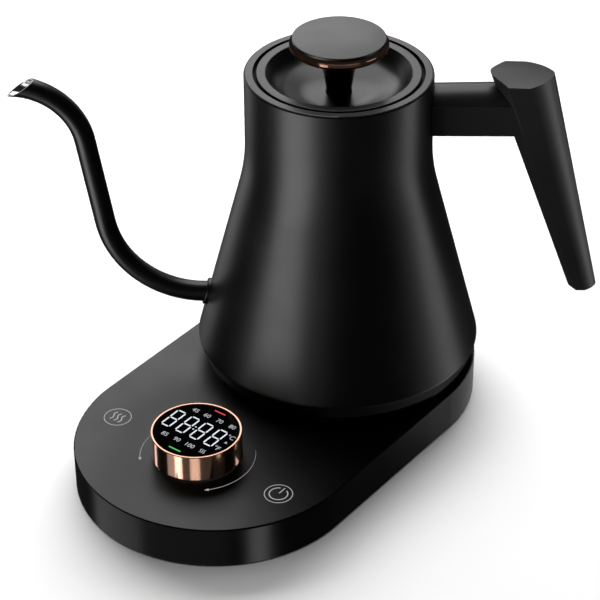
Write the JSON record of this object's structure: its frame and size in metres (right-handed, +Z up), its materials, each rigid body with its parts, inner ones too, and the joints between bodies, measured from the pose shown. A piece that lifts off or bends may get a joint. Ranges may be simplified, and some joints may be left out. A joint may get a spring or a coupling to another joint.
{
  "type": "gooseneck kettle",
  "caption": "Electric gooseneck kettle with a long curved spout, open handle and lift-off lid, on a cordless base with a round display dial.",
  "frame": {"origin": "on the counter plane, on the kettle's vertical axis, under the centre of the base's coupler", "axes": "+Z up, +X from the kettle axis towards the handle, -X towards the spout; the base's dial end points at -126 degrees from +X about Z"},
  "size_m": [0.2966, 0.2262, 0.2046],
  "materials": {
    "black_coat": "satin black powder coat on steel",
    "black_plastic": "fine matte black moulding",
    "rose_gold": "polished, anodised rose gold",
    "display_glass": "gloss black smoked window",
    "bare_steel": "brushed stainless steel",
    "aluminium": "plain pressed",
    "rubber": "matte silicone",
    "brass": "plain",
    "circuit_board": "green solder mask",
    "dark_component": "moulded component case",
    "capacitor_can": "plain",
    "screw_steel": "zinc plated",
    "display_white": "lit display segment",
    "display_red": "lit display bar",
    "display_green": "lit display bar",
    "print_grey": "printed symbol ink"
  },
  "bodies": {
    "power_base": {"base_top_cover": "black_plastic", "base_bottom_cover": "black_plastic", "rubber_feet": "rubber", "base_screws": "screw_steel", "cord_gland": "black_plastic", "coupler_housing": "black_plastic", "coupler_contacts": "brass", "coupler_screws": "screw_steel", "main_board": "circuit_board", "power_relay": "dark_component", "supply_transformer": "dark_component", "filter_capacitor": "capacitor_can", "control_board": "circuit_board", "touch_electrodes": "capacitor_can", "dial_collar": "black_plastic", "dial_spring": "screw_steel", "push_switch": "dark_component"},
    "dial_core": {"dial_carrier": "black_plastic", "dial_retainer": "black_plastic", "display_module": "dark_component", "dial_lens": "display_glass", "encoder_sensor": "dark_component"},
    "dial_rim": {"dial_ring": "rose_gold", "encoder_ring": "black_plastic"},
    "kettle_socket": {"kettle_connector": "black_plastic", "connector_pins": "brass"},
    "kettle": {"bottom_pan": "black_plastic", "pan_screws": "screw_steel", "floor_plate": "bare_steel", "heat_plate": "aluminium", "heating_element": "bare_steel", "temperature_probe": "bare_steel", "probe_seal": "rubber", "dry_boil_cutout": "dark_component", "body_shell": "black_coat", "neck_ring": "black_coat", "spout_tube": "black_coat", "spout_collar": "black_coat", "handle_grip": "black_plastic", "handle_cap": "black_plastic", "handle_arm": "black_plastic", "handle_bracket": "bare_steel", "handle_screws": "screw_steel"},
    "lid": {"lid_top": "black_coat", "lid_base": "black_plastic", "lid_seal": "rubber", "lid_knob_stem": "black_plastic", "lid_knob_disc": "black_coat", "lid_knob_trim": "rose_gold", "lid_screw": "screw_steel"}
  },
  "joints": [
    {"name": "kettle_lift", "type": "slide", "parent": "power_base", "child": "kettle_socket", "axis": [0, 0, 1], "range_m": [0, 0.08]},
    {"name": "kettle_turn", "type": "hinge", "parent": "kettle_socket", "child": "kettle", "pos_m": [0, 0, 0.03], "axis": [0, 0, 1], "continuous": true},
    {"name": "lid_lift", "type": "slide", "parent": "kettle", "child": "lid", "axis": [0, 0, 1], "range_m": [0, 0.06]},
    {"name": "dial_press", "type": "slide", "parent": "power_base", "child": "dial_core", "axis": [0, 0, -1], "range_m": [0, 0.0006], "stiffness_N_per_m": 3000, "springref_m": -0.0006, "deforming": ["dial_spring"]},
    {"name": "dial_turn", "type": "hinge", "parent": "dial_core", "child": "dial_rim", "pos_m": [-0.06898, -0.09426, 0.03], "axis": [0, 0, 1], "continuous": true}
  ]
}
